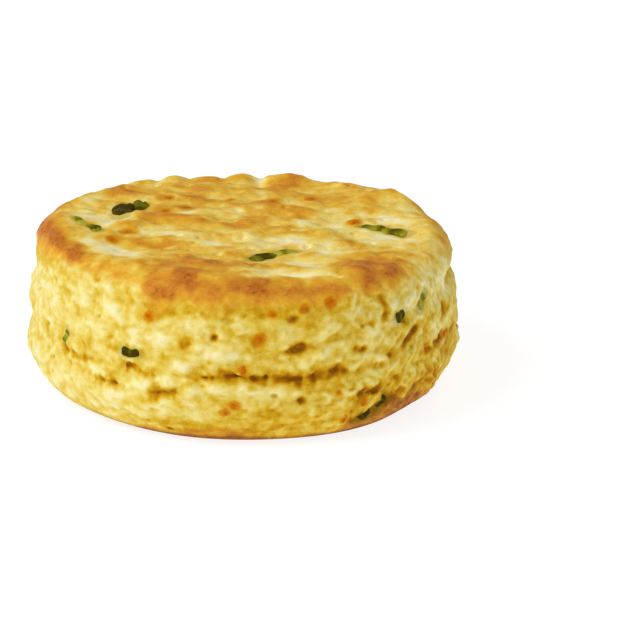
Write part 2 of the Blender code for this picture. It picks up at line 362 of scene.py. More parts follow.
# ---- chives: (where, heading, length, width, thickness, bend, sink, shade) ---------------------------------
# Sink is how much of the thickness lies under the dough's surface.
TOP_CHIVES = (
    (-21.6, 6.0, 84.0, 7.6, 3.9, 2.2, 3.0, 0.44, 0.00),
    (-18.7, 9.8, 82.0, 4.9, 2.7, 1.8, -3.0, 0.54, 0.22),
    (-26.3, -6.4, -50.0, 3.2, 2.3, 1.3, 4.0, 0.58, 0.40),
    (-28.9, -3.4, -50.0, 4.2, 1.6, 0.9, 4.0, 0.62, 0.70),
    (3.0, -16.8, 40.0, 5.6, 2.6, 1.4, 5.0, 0.58, 0.20),
    (7.2, -14.2, 24.0, 4.8, 1.9, 1.0, -6.0, 0.64, 0.70),
    (22.9, 1.6, -20.0, 4.8, 2.4, 1.3, 4.0, 0.58, 0.44),
    (26.6, 0.2, -22.0, 4.9, 2.5, 1.4, 4.0, 0.58, 0.40),
)
SIDE_CHIVES = (
    (-120.8, 15.7, 0.0, 3.6, 1.8, 1.0, 3.0, 0.58, -0.04),
    (-144.2, 15.0, 68.0, 2.6, 1.6, 0.9, 0.0, 0.62, 0.62),
    (-45.4, 19.9, 14.0, 3.0, 1.9, 1.1, 0.0, 0.52, 0.10),
    (-34.0, 20.6, 40.0, 3.6, 1.7, 0.8, 0.0, 0.62, 0.66),
    (-52.2, 5.8, 60.0, 2.6, 2.0, 1.1, 0.0, 0.60, -0.10),
    (-57.2, 4.1, 14.0, 2.8, 1.9, 1.1, 0.0, 0.62, -0.06),
    (27.0, 17.0, 15.0, 4.2, 1.4, 1.0, 6.0, 0.50, 0.35),
    (41.0, 8.0, -20.0, 3.2, 1.5, 1.0, 0.0, 0.50, 0.15),
    (77.0, 19.5, 35.0, 4.0, 1.3, 0.9, 5.0, 0.50, 0.40),
    (103.0, 8.4, -8.0, 2.6, 1.6, 1.1, 0.0, 0.50, 0.05),
    (133.0, 16.8, 10.0, 4.2, 1.4, 1.0, 8.0, 0.50, 0.50),
    (156.0, 11.0, 60.0, 2.4, 1.3, 1.0, 0.0, 0.50, 0.25),
)

# ---- cheese: orange, browned specks: (angle, height, size) on the wall, (x, y, size) on the top -------------
SIDE_CHEESE = (
    (-115.8, 22.4, 1.0),
    (-93.2, 8.1, 0.9),
    (-90.9, 14.2, 0.8),
    (-86.8, 19.4, 1.1),
    (-67.6, 24.8, 1.0),
    (-74.9, 24.1, 0.9),
    (-83.4, 23.6, 0.7),
    (-63.9, 4.2, 0.8),
    (-58.5, 6.6, 0.9),
    (-19.0, 12.2, 1.0),
    (-33.0, 11.6, 0.8),
    (-95.5, 6.8, 0.8),
    (-66.0, 9.4, 0.6),
    (12.0, 22.0, 0.9),
    (35.0, 14.0, 1.0),
    (58.0, 24.0, 0.9),
    (70.0, 6.0, 0.9),
    (96.0, 15.0, 1.1),
    (121.0, 22.5, 0.9),
    (139.0, 5.0, 0.9),
    (160.0, 20.0, 0.9),
    (177.0, 8.5, 0.8),
)
TOP_CHEESE = (
    (12.3, 18.8, 1.2),
    (-10.5, 10.2, 1.4),
    (5.0, 13.0, 1.1),
    (-14.4, 7.4, 1.0),
    (-13.6, 15.4, 0.9),
    (-2.6, 15.6, 0.9),
    (19.6, 4.8, 1.2),
    (1.2, -22.4, 1.1),
    (-20.6, -6.6, 1.1),
    (-23.0, -10.6, 1.0),
)


# ---- noise -----------------------------------------------------------------------------------------------
TURNS = np.random.default_rng(11).normal(size=(256, 3))
TURNS = (TURNS / np.linalg.norm(TURNS, axis=1)[:, None]).astype(FLOAT)


def hashed(ix, iy, iz, seed):
    n = ix.astype(np.uint32) * np.uint32(0x8DA6B343)
    n ^= iy.astype(np.uint32) * np.uint32(0xD8163841)
    n ^= iz.astype(np.uint32) * np.uint32(0xCB1AB31F)
    n ^= np.uint32((seed * 0x9E3779B1) & 0xFFFFFFFF)
    n ^= n >> np.uint32(15)
    n *= np.uint32(0x2C1B3C6D)
    n ^= n >> np.uint32(12)
    n *= np.uint32(0x297A2D39)
    n ^= n >> np.uint32(15)
    return n


def wave(p, size, seed):
    """Smooth noise from about -1 to 1. size is one length, or one for each axis."""
    q = p / np.asarray(size, FLOAT)
    low = np.floor(q)
    f = q - low
    low = low.astype(np.int32)
    u = f * f * f * (f * (f * 6 - 15) + 10)
    total = np.zeros(len(p), FLOAT)
    for dx in (0, 1):
        for dy in (0, 1):
            for dz in (0, 1):
                g = TURNS[hashed(low[:, 0] + dx, low[:, 1] + dy, low[:, 2] + dz, seed) & 255]
                dot = g[:, 0] * (f[:, 0] - dx) + g[:, 1] * (f[:, 1] - dy) + g[:, 2] * (f[:, 2] - dz)
                w = (u[:, 0] if dx else 1 - u[:, 0]) * (u[:, 1] if dy else 1 - u[:, 1])
                total += dot * w * (u[:, 2] if dz else 1 - u[:, 2])
    return total * 1.7


def cells(p, size, seed):
    """(distance to the nearest cell's middle, gap to the second nearest, a value of the cell), in cell sizes."""
    q = p / np.asarray(size, FLOAT)
    low = np.floor(q)
    f = q - low
    low = low.astype(np.int32)
    near = np.full(len(p), 9.0, FLOAT)
    second = near.copy()
    kind = np.zeros(len(p), FLOAT)
    for dx in (-1, 0, 1):
        for dy in (-1, 0, 1):
            for dz in (-1, 0, 1):
                n = hashed(low[:, 0] + dx, low[:, 1] + dy, low[:, 2] + dz, seed)
                jx = (n & 1023).astype(FLOAT) * (1 / 1023) + dx - f[:, 0]
                jy = ((n >> np.uint32(10)) & 1023).astype(FLOAT) * (1 / 1023) + dy - f[:, 1]
                jz = ((n >> np.uint32(20)) & 1023).astype(FLOAT) * (1 / 1023) + dz - f[:, 2]
                d = np.sqrt(jx * jx + jy * jy + jz * jz)
                closer = d < near
                second = np.where(closer, near, np.minimum(second, d))
                kind = np.where(closer, (n >> np.uint32(8)).astype(FLOAT) * (1 / 16777215), kind)
                near = np.where(closer, d, near)
    return near, second - near, kind


def smooth(low, high, x):
    t = np.clip((x - low) / (high - low), 0.0, 1.0)
    return t * t * (3.0 - 2.0 * t)


def soft_max(a, b, k):
    h = np.clip(0.5 + 0.5 * (a - b) / k, 0.0, 1.0)
    return b + (a - b) * h + k * h * (1.0 - h)


def soft_min(a, b, k):
    return -soft_max(-a, -b, k)


# ---- the round body --------------------------------------------------------------------------------------
def roundness(theta):
    out = np.ones_like(theta)
    for k, share, peak in OVAL:
        out = out + share * np.cos(k * (theta - math.radians(peak)))
    return out


def turned(theta, degrees):
    """Signed angle from a direction, in degrees."""
    return (np.degrees(theta) - degrees + 180.0) % 360.0 - 180.0


def top_height(x, y):
    z = HEIGHT - LEAN * x / RIM_R
    for cx, cy, sx, sy, h in HEAVES:
        z = z + h * np.exp(-((x - cx) / sx) ** 2 - ((y - cy) / sy) ** 2)
    return z


def wall_radius(theta, z, rim_z):
    below = BELLY_R - (BELLY_R - FOOT_R) * ((z - BELLY_Z) / BELLY_Z) ** 2
    above = BELLY_R - (BELLY_R - RIM_R) * ((z - BELLY_Z) / (rim_z - BELLY_Z)) ** 2
    r = np.where(z < BELLY_Z, below, above) * roundness(theta)
    for angle, height, along, up, amount in OUTLINE:
        u = turned(theta, angle) * (math.radians(1.0) * BELLY_R) / along
        r = r + amount * np.exp(-u * u - ((z - height) / up) ** 2)
    return r


def rim_height(theta):
    r = (RIM_R - RIM_ROUND) * roundness(theta)
    return top_height(AXIS[0] + r * np.cos(theta), AXIS[1] + r * np.sin(theta))


def body_field(x, y, z):
    """(distance, distance from the wall, distance from the top), all negative inside."""
    theta = np.arctan2(y - AXIS[1], x - AXIS[0])
    rim = rim_height(theta)
    a = np.hypot(x - AXIS[0], y - AXIS[1]) - wall_radius(theta, z, rim)
    b = z - top_height(x, y)
    au, bu = np.maximum(a + RIM_ROUND, 0), np.maximum(b + RIM_ROUND, 0)
    d = np.minimum(np.maximum(a, b), -RIM_ROUND) + np.hypot(au, bu)
    fu, du = np.maximum(-z + FOOT_ROUND, 0), np.maximum(d + FOOT_ROUND, 0)
    d = np.minimum(np.maximum(d, -z), -FOOT_ROUND) + np.hypot(fu, du)
    return d, a, b


def top_share(a, b):
    """1 on the top, 0 on the wall, and between them round the rim."""
    au, bu = np.maximum(a + RIM_ROUND, 0), np.maximum(b + RIM_ROUND, 0)
    length = np.hypot(au, bu)
    return np.where(length > 1e-4, (bu / np.maximum(length, 1e-4)) ** 2, (b > a).astype(FLOAT))


def on_wall(degrees, z, out=0.0):
    """(point, outward, along the wall) for an angle and a height."""
    t = math.radians(degrees)
    theta = np.array([t])
    r = float(wall_radius(theta, np.array([z]), rim_height(theta))[0]) + out
    outward = Vector((math.cos(t), math.sin(t), 0.0))
    return Vector((AXIS[0], AXIS[1], z)) + outward * r, outward, Vector((-math.sin(t), math.cos(t), 0.0))


class Field:
    """A distance field on a grid, in millimetres, that lumps and pits are worked into."""

    def __init__(self):
        half = 41.5
        self.origin = np.array([-half, -half, -1.6], FLOAT)
        self.shape = [int(2 * half / VOXEL) + 1, int(2 * half / VOXEL) + 1, int(36.0 / VOXEL) + 1]
        self.x, self.y, self.z = (self.origin[i] + VOXEL * np.arange(self.shape[i], dtype=FLOAT) for i in range(3))
        d, a, b = body_field(self.x[:, None, None], self.y[None, :, None], self.z[None, None, :])
        self.body = d.astype(FLOAT)
        self.d = self.body.copy()
        self.a, self.b = a.astype(FLOAT), b.astype(FLOAT)

    def block(self, middle, reach):
        """Slices and coordinates of the part of the grid within reach of a point."""
        cut, grids = [], []
        for i, axis in enumerate((self.x, self.y, self.z)):
            low = max(0, int((middle[i] - reach - self.origin[i]) / VOXEL))
            high = min(self.shape[i], int((middle[i] + reach - self.origin[i]) / VOXEL) + 2)
            cut.append(slice(low, high))
            grids.append(axis[low:high] - FLOAT(middle[i]))
        return tuple(cut), np.meshgrid(*grids, indexing="ij")

    def blob(self, middle, axes, halves, ragged=0.0):
        """(slices, rough distance) of an ellipsoid with these axes and half sizes."""
        cut, (gx, gy, gz) = self.block(middle, max(halves) + 1.2)
        q = 0.0
        for axis, half in zip(axes, halves):
            q = q + ((gx * axis[0] + gy * axis[1] + gz * axis[2]) / half) ** 2
        e = (np.sqrt(q) - 1.0) * min(halves)
        if ragged:
            p = np.stack([gx.ravel(), gy.ravel(), gz.ravel()], axis=1) + np.array(middle, FLOAT)
            e = e + ragged * (wave(p, 1.5, 41) + 0.5 * wave(p, 0.8, 42)).reshape(e.shape)
        return cut, e

    def add(self, middle, axes, halves, k=0.5, ragged=0.0):
        cut, e = self.blob(middle, axes, halves, ragged)
        self.d[cut] = soft_min(self.d[cut], e, k)

    def cut(self, middle, axes, halves, k=0.3, ragged=0.0):
        cut, e = self.blob(middle, axes, halves, ragged)
        self.d[cut] = soft_max(self.d[cut], -e, k)

    def at(self, points, grid):
        """Values of a grid at points, in between by straight lines."""
        q = (points - self.origin) / VOXEL
        q = np.clip(q, 0.0, np.array(self.shape, FLOAT) - 1.001)
        low = q.astype(np.int32)
        f = q - low
        out = np.zeros(len(points), FLOAT)
        for dx in (0, 1):
            for dy in (0, 1):
                for dz in (0, 1):
                    w = (f[:, 0] if dx else 1 - f[:, 0]) * (f[:, 1] if dy else 1 - f[:, 1])
                    w = w * (f[:, 2] if dz else 1 - f[:, 2])
                    out += w * grid[low[:, 0] + dx, low[:, 1] + dy, low[:, 2] + dz]
        return out


def blurred(grid, reach):
    """Box blur, twice, along each axis. reach is in cells on each side."""
    out = grid
    for _ in range(2):
        for axis in range(3):
            pad = [(0, 0)] * 3
            pad[axis] = (reach + 1, reach)
            total = np.cumsum(np.pad(out, pad, mode="edge"), axis=axis, dtype=np.float64)
            width = 2 * reach + 1
            high = np.take(total, range(width, width + grid.shape[axis]), axis=axis)
            low = np.take(total, range(0, grid.shape[axis]), axis=axis)
            out = ((high - low) / width).astype(FLOAT)
    return out


def tilted(along, degrees):
    """(axis along a feature, axis across it) on the wall, for its tilt."""
    t = math.radians(degrees)
    up = Vector((0.0, 0.0, 1.0))
    # Seen from outside, along points to the right.
    return along * math.cos(t) + up * math.sin(t), up * math.cos(t) - along * math.sin(t)


def one_split(row, theta, z, a):
    """(which points lie beside a split, their distance from it, negative inside, their height above its middle)."""
    middle, half, height, rise, depth, width, waves, _ = row
    t = turned(theta, middle) / half
    inside = np.abs(t) < 1.15
    t, zi, ai = t[inside], z[inside], a[inside]
    along = t * half * math.radians(1.0) * BELLY_R
    line = height + 0.5 * rise * t + waves * (0.6 * np.sin(0.33 * along + middle) + 0.4 * np.sin(0.72 * along + 2.0 * middle))
    ends = 1.0 - np.clip(np.abs(t), 0, 1) ** 4
    reach = np.maximum(depth * ends, 0.01)
    open_ = width * ends * (0.80 + 0.30 * np.sin(1.1 * along + 3.0 * middle))
    mouth = np.maximum(open_ * (1.0 + ai / reach), -0.6)
    return inside, np.where(ends > 0.02, np.abs(zi - line) - mouth, 9.0), (zi - line) / np.maximum(ends, 0.1)


def split_field(theta, z, a):
    """Distance from the splits between the layers, negative inside them."""
    out = np.full(len(z), 9.0, FLOAT)
    for row in SPLITS:
        inside, e, _ = one_split(row, theta, z, a)
        out[inside] = np.minimum(out[inside], e)
    return out


def split_stain(p, theta, a):
    """How far the splits and their lips are browned, with torn strands hanging over each from above."""
    out = np.zeros(len(p), FLOAT)
    ragged = ragged_edge(p)
    strands = smooth(-0.10, 0.45, wave(p, (1.1, 1.1, 3.2), 81) + 0.3 * wave(p, (0.8, 0.8, 1.4), 82))
    for row in SPLITS:
        inside, e, above = one_split(row, theta, p[:, 2], a)
        torn = strands[inside] * smooth(1.5, 0.4, np.abs(above - 0.5))
        out[inside] = np.maximum(out[inside], row[-1] * np.maximum(smooth(0.95, -0.25, e + 1.2 * ragged[inside]), 0.90 * torn))
    return out


def ragged_edge(p):
    """How the lips of a split wander, in millimetres."""
    return 0.34 * wave(p, (1.9, 1.9, 1.4), 12) + 0.46 * wave(p, (1.0, 1.0, 2.2), 13)


def strands(p, theta):
    """Torn strands that lean across the wall, about -1 to 1, on the right and here and there at the back."""
    around, z = theta * BELLY_R, p[:, 2]
    lean = []
    for degrees, seed in ((54.0, 83), (-34.0, 85)):
        c, s = math.cos(math.radians(degrees)), math.sin(math.radians(degrees))
        q = np.stack([(around * c + z * s) / 3.2, (z * c - around * s) / 0.9, np.full(len(p), 0.4)], axis=1).astype(FLOAT)
        lean.append(wave(q, 1.0, seed))
    right = smooth(34.0, 16.0, np.abs(turned(theta, -40.0)))
    back = smooth(64.0, 44.0, np.abs(turned(theta, 88.0))) * smooth(-0.1, 0.5, wave(p, (15.0, 15.0, 9.0), 87))
    return (np.maximum(lean[0], lean[1]) - 0.15) * np.maximum(right, back)


def curds(p):
    """How far each point lies on a pale, ragged curd pressed into the crumb, 0 to 1."""
    loose = 0.55 * wave(p, (1.7, 1.7, 1.2), 71) + 0.25 * wave(p, 0.9, 72)
    wide = smooth(0.20, 0.95, wave(p, (3.8, 3.8, 2.1), 5) + loose)
    near, _, kind = cells(p, (2.8, 2.8, 1.9), 9)
    small = smooth(0.60, 0.20, near - 0.35 * loose) * smooth(0.55, 0.72, kind)
    return np.maximum(wide, 0.8 * small)


def tears(p):
    """How far each point lies in one of the ragged tears of the crumb, 0 to 1."""
    t = wave(p, (2.8, 2.8, 1.5), 7) + 0.45 * wave(p, (1.2, 1.2, 1.0), 8)
    return smooth(0.55, 1.05, t)


def wall_relief(p):
    """Swellings, layers, curds, tears and crumb of the wall."""
    rise = 0.50 * wave(p, (10.0, 10.0, 7.0), 1) + 0.28 * wave(p, (7.5, 7.5, 2.4), 2)
    rise += 0.24 * wave(p, (3.8, 3.8, 2.4), 3) + 0.13 * wave(p, (2.0, 2.0, 1.4), 6) + 0.06 * wave(p, 1.1, 4)
    crease = np.exp(-(wave(p, (5.2, 5.2, 2.6), 10) / 0.10) ** 2)
    return rise + 0.20 * curds(p) - 0.45 * tears(p) - 0.12 * crease


def top_relief(p):
    """Folds, heaves and small blisters of the top's skin."""
    fold = 0.28 * (0.9 - 2.2 * np.abs(wave(p, (9.0, 5.0, 30.0), 31)))
    rise = 0.50 * wave(p, (5.0, 4.2, 20.0), 32) + 0.22 * wave(p, (2.6, 2.4, 9.0), 33) + 0.07 * wave(p, 1.3, 34)
    dent = smooth(0.50, 0.95, wave(p, (3.0, 2.4, 8.0), 35) + 0.3 * wave(p, 1.2, 36))
    return fold + rise - 0.34 * dent


def shape_field():
    """The biscuit's whole distance field."""
    field = Field()
    band = np.abs(field.body) < 3.4
    ix, iy, iz = np.nonzero(band)
    p = np.stack([field.x[ix], field.y[iy], field.z[iz]], axis=1)
    d, a, b = field.body[band], field.a[band], field.b[band]
    theta = np.arctan2(p[:, 1] - AXIS[1], p[:, 0] - AXIS[0])
    top = top_share(a, b)
    wall = 1.0 - top

    rise = (wall_relief(p) + 0.36 * strands(p, theta)) * wall + top_relief(p) * top
    foot = smooth(0.2, 2.6, p[:, 2])
    under = p[:, 2] < 1.6
    d = d - rise * foot

    # Splits, then the floor that the biscuit stands on.
    d = soft_max(d, -(split_field(theta, p[:, 2], a) + ragged_edge(p)), 0.4)
    d = np.where(under, soft_max(d, -p[:, 2], 0.5), d)
    field.d[band] = d

    rng = np.random.default_rng(29)
    for angle, height, half_w, half_h, out, tilt in CURDS:
        middle, outward, along = on_wall(angle, height, out - 1.0)
        u, v = tilted(along, tilt)
        field.add(middle, (u, v, outward), (half_w, half_h, 1.0), 0.7, 0.25)
    for angle, height, half_w, half_h, depth, tilt, _ in PITS:
        middle, outward, along = on_wall(angle, height, 0.25)
        u, v = tilted(along, tilt)
        field.cut(middle, (u, v, outward), (half_w, half_h, depth + 0.25), 0.5, 0.38)
    # Small tears all round the wall, wider than high.
    for _ in range(44):
        angle, height = rng.uniform(-180, 180), rng.uniform(2.2, 24.0)
        half_w = rng.uniform(0.4, 1.0)
        middle, outward, along = on_wall(angle, height, 0.2)
        u, v = tilted(along, rng.uniform(-35, 35))
        field.cut(middle, (u, v, outward), (half_w, half_w * rng.uniform(0.5, 0.8), rng.uniform(0.3, 0.6)), 0.45, 0.25)
    # Pores in the skin of the top.
    for _ in range(36):
        angle, r = rng.uniform(0, 2 * math.pi), 34.0 * math.sqrt(rng.uniform(0, 1))
        x, y = AXIS[0] + r * math.cos(angle), AXIS[1] + r * math.sin(angle)
        z = float(top_height(x, y))
        size = rng.uniform(0.35, 0.75)
        field.cut(Vector((x, y, z + 0.15)), np.eye(3), (size, size * rng.uniform(0.7, 1.3), rng.uniform(0.5, 0.9)), 0.35, 0.2)
    return field


# ---- meshes ----------------------------------------------------------------------------------------------
def largest_piece(points, faces):
    """The faces and points of the largest connected piece."""
    label = np.arange(len(points))
    while True:
        low = label[faces].min(axis=1)
        new = label.copy()
        np.minimum.at(new, faces.ravel(), np.repeat(low, faces.shape[1]))
        new = new[new]
        if (new == label).all():
            break
        label = new
    names, counts = np.unique(label, return_counts=True)
    keep = label == names[counts.argmax()]
    index = np.cumsum(keep) - 1
    return points[keep], index[faces[keep[faces[:, 0]]]]


def mesh_from(name, points, faces):
    """A mesh from points in millimetres and faces of one size."""
    mesh = bpy.data.meshes.new(name)
    mesh.vertices.add(len(points))
    mesh.vertices.foreach_set("co", (points * MM).astype(FLOAT).ravel())
    mesh.loops.add(faces.size)
    mesh.loops.foreach_set("vertex_index", faces.astype(np.int32).ravel())
    mesh.polygons.add(len(faces))
    mesh.polygons.foreach_set("loop_start", np.arange(0, faces.size, faces.shape[1], dtype=np.int32))
    mesh.update(calc_edges=True)
    mesh.validate()
    return mesh


def linked(name, mesh):
    obj = bpy.data.objects.new(name, mesh)
    bpy.context.scene.collection.objects.link(obj)
    return obj


def points_of(mesh):
    co = np.empty(len(mesh.vertices) * 3, FLOAT)
    mesh.vertices.foreach_get("co", co)
    return co.reshape(-1, 3) / MM


def triangles_in(mesh):
    mesh.calc_loop_triangles()
    return len(mesh.loop_triangles)


def set_attribute(mesh, name, values):
    attribute = mesh.attributes.new(name, "FLOAT", "POINT")
    attribute.data.foreach_set("value", values.astype(FLOAT))


def body_mesh(field):
    grid = vdb.FloatGrid(background=4.0)
    grid.copyFromArray(np.ascontiguousarray(np.clip(field.d, -4.0, 4.0)))
    points, quads = grid.convertToQuads(isovalue=0.0)
    points = points * VOXEL + field.origin
    points, quads = largest_piece(points, quads.astype(np.int64))
    mesh = mesh_from("crumb", points, quads)
    obj = linked("crumb", mesh)
    count = triangles_in(mesh)
    if count > MOST_TRIANGLES:
        thin = obj.modifiers.new("thin", "DECIMATE")
        thin.ratio = MOST_TRIANGLES / count
        made = bpy.data.meshes.new_from_object(obj.evaluated_get(bpy.context.evaluated_depsgraph_get()))
        obj.modifiers.clear()
        obj.data = made
        bpy.data.meshes.remove(mesh)
        made.name = "crumb"
    obj.data.shade_smooth()
    return obj


def patches(x, y, places):
    out = np.zeros(len(x), FLOAT)
    for cx, cy, sx, sy, amount in places:
        v = amount * np.exp(-(((x - cx) / sx) ** 2 + ((y - cy) / sy) ** 2))
        out = out + v * (1.0 - out)
    return out


def wall_patches(theta, z, places, spread=1.0):
    """Amounts of soft ovals on the wall, the strongest one at each point."""
    out = np.zeros(len(z), FLOAT)
    for angle, height, half_w, half_h, amount, tilt in places:
        along, up = turned(theta, angle) * (math.radians(1.0) * BELLY_R), z - height
        c, s = math.cos(math.radians(tilt)), math.sin(math.radians(tilt))
        u, v = (along * c + up * s) / (half_w * spread), (up * c - along * s) / (half_h * spread)
        out = np.maximum(out, amount * np.exp(-((u * u + v * v) ** 1.5)))
    return out


def herb_stain(p, herbs):
    """How green the dough is beside the chives, where they show through a film of it."""
    out = np.zeros(len(p), FLOAT)
    for line, _, _, width, _, _ in herbs:
        line = np.array([tuple(q) for q in line], FLOAT)
        near = np.nonzero(np.linalg.norm(p - line[len(line) // 2], axis=1) < np.linalg.norm(line[0] - line[-1]) * 0.6 + 3.0)[0]
        far = np.min([np.linalg.norm(p[near] - q, axis=1) for q in line[1:-1]], axis=0)
        out[near] = np.maximum(out[near], smooth(0.5 * width + 0.6, 0.5 * width - 0.2, far))
    return out


def paint_body(obj, field, specks, herbs):
    """Tone of the crumb, baking of the skin, and specks at each point, which the material turns into colour."""
    mesh = obj.data
    p = points_of(mesh)
    _, a, b = body_field(p[:, 0], p[:, 1], p[:, 2])
    top = top_share(a, b)
    theta = np.arctan2(p[:, 1] - AXIS[1], p[:, 0] - AXIS[0])
    # How far each point lies in a small hollow, in a wide hollow, and below the smooth body. The crumb's tone is
    # darkened by all three as painted shade; the skin is paled in wide hollows.
    small_hollow_shade = -field.at(p, blurred(np.clip(field.d, -2.5, 2.5), 1))
    wide = -field.at(p, blurred(np.clip(field.d, -2.5, 2.5), 4))
    sunk = -field.at(p, field.body)

    warp = np.stack([wave(p, 4.0, 51), wave(p, 4.0, 52)], axis=1) * 1.2
    warp += np.stack([wave(p, 1.8, 53), wave(p, 1.8, 54)], axis=1) * 0.7
    x, y = p[:, 0] + warp[:, 0], p[:, 1] + warp[:, 1]
    on_top = smooth(0.15, 0.60, top)

    # The browned rim, which runs a little way down the wall and fades into gold below that.
    below = np.clip(-b, 0.0, None)
    rim = np.zeros(len(p), FLOAT)
    gold = np.zeros(len(p), FLOAT)
    for angle, half, reach, amount in RIM_BROWN:
        t = np.abs(turned(theta, angle) / half) + 0.08 * warp[:, 1]
        edge = np.maximum(reach + 0.9 * warp[:, 0] + 0.7 * warp[:, 1], 0.6)
        v = amount * smooth(1.25, 0.75, t) * smooth(1.4, 0.3, below / edge)
        rim = rim + v * (1.0 - rim)
        gold = np.maximum(gold, amount * smooth(1.30, 0.80, t) * smooth(edge + 4.4, edge - 0.5, below))
    rim = rim * smooth(1.0, 0.55, top) * (0.85 + 0.25 * wave(p, 2.6, 56))
    brown = patches(x, y, BROWNED) * on_top
    brown = brown + rim * (1.0 - np.clip(brown, 0, 1))

    # Crumb: curds are pale, the dough between them yellow, and tears golden to brown.
    patch = 0.8 * wave(p, (3.2, 3.2, 1.9), 61) + 0.95 * wave(p, (1.6, 1.6, 1.2), 62) + 0.55 * wave(p, 0.9, 64)
    z = p[:, 2] + 0.25 * warp[:, 0]
    set_curds = [(angle, height, half_w * 1.2, half_h * 1.3, 0.17, tilt) for angle, height, half_w, half_h, _, tilt in CURDS]
    set_pits = [(angle, height, half_w * 1.1, half_h * 1.2, stain, tilt) for angle, height, half_w, half_h, _, tilt, stain in PITS]
    # The cosine term darkens the crumb towards the right front and pales it towards the back left: partly uneven
    # baking, partly painted shade of the side turned away from the key light.
    tone = 0.42 + 0.15 * patch + 0.05 * wave(p, (11.0, 11.0, 6.0), 63) + 0.06 * np.cos(theta + 0.35)
    tone = tone - 0.14 * curds(p) + 0.15 * tears(p) - 0.17 * strands(p, theta)
    tone = tone - wall_patches(theta + 0.012 * warp[:, 1], z, set_curds)
    tone = tone - wall_patches(theta + 0.012 * warp[:, 1], z, WALL_PALE)
    tone = tone + 0.85 * wall_patches(theta + 0.010 * warp[:, 1], z, BLOTS, 1.2) * (0.8 + 0.5 * wave(p, 1.4, 65))
    tone = tone + wall_patches(theta + 0.006 * warp[:, 1], z, set_pits)
    tone = tone + split_stain(p, theta, np.maximum(a, -0.4))
    # Painted shade: the crumb is darkened in small and wide hollows and deep in pits.
    tone = tone + 0.4 * small_hollow_shade + 0.12 * wide + 0.08 * smooth(0.9, 2.0, sunk)
    # Gold below the browned rim; then painted shade, darkening the lower wall towards the floor.
    tone = tone + 0.37 * gold + 0.14 * smooth(9.0, 1.5, p[:, 2])
    # The skin reaches over the rim and a little way down the wall, and again round the foot, which is browned and also
    # darkened with painted contact shade, most nearest the floor.
    under = smooth(0.5, 0.1, p[:, 2])
    right = np.exp(-((turned(theta, -40.0) / 17.0) ** 2))
    foot_z = 1.1 + 3.6 * right - 1.0 * np.exp(-((turned(theta, -152.0) / 24.0) ** 2))
    foot_z = foot_z + 2.0 * np.exp(-((turned(theta, -99.0) / 9.0) ** 2)) + 0.5 * wave(p, 9.0, 66)
    foot = smooth(foot_z + 0.9, foot_z - 0.5, p[:, 2] + 0.5 * warp[:, 0] + 0.5 * patch)
    tone = tone + 0.26 * foot
    skin = smooth(0.02, 0.45, top + 0.9 * rim + 0.08 * patch)
    skin = np.maximum(skin, np.maximum(0.55 * foot, under))

    # Skin: folds and high spots take colour first, and hollows stay pale.
    blotch = wave(p, (4.4, 3.6, 12.0), 55) + 0.8 * wave(p, (2.1, 1.9, 5.0), 57) + 0.4 * wave(p, 1.1, 59)
    pale = patches(x, y, PALE)
    bake = 0.41 + 0.22 * blotch * (1.0 - 0.45 * np.clip(brown, 0, 1)) - 0.30 * wide + 0.57 * brown
    bake = np.minimum(bake - 0.47 * pale * (1.0 - np.clip(brown, 0, 1)), 0.90)
    # The foot's colour: browned, and painted contact shade that deepens nearest the floor.
    bake = bake + foot * (0.70 + 0.20 * right + 0.22 * patch + 0.40 * smooth(2.2, 0.8, p[:, 2]) - bake)
    # A dark ring round the bottom edge, where it meets the floor: scorched, and also painted contact shade.
    edge = smooth(1.9, 0.5, p[:, 2] + 0.3 * patch) * smooth(-2.6, -1.2, a) * (0.8 + 0.3 * wave(p, 5.0, 69))
    bake = bake + under * (0.76 + 0.12 * patch + 0.08 * blotch - bake)

    cheese = np.zeros(len(p), FLOAT)
    stray = 0.35 * wave(p, 1.3, 67) + 0.20 * wave(p, 0.7, 68)
    for middle, _, size in specks:
        far = np.linalg.norm(p - np.array(middle, FLOAT), axis=1) + stray
        cheese = np.maximum(cheese, smooth(size * 1.9, size * 0.2, far))
    set_attribute(mesh, "tone", np.clip(tone, 0, 1))
    set_attribute(mesh, "bake", np.clip(bake, 0, 1))
    set_attribute(mesh, "skin", skin)
    set_attribute(mesh, "cheese", cheese)
    set_attribute(mesh, "herb", herb_stain(p, herbs))
    set_attribute(mesh, "edge", np.clip(edge, 0, 1))


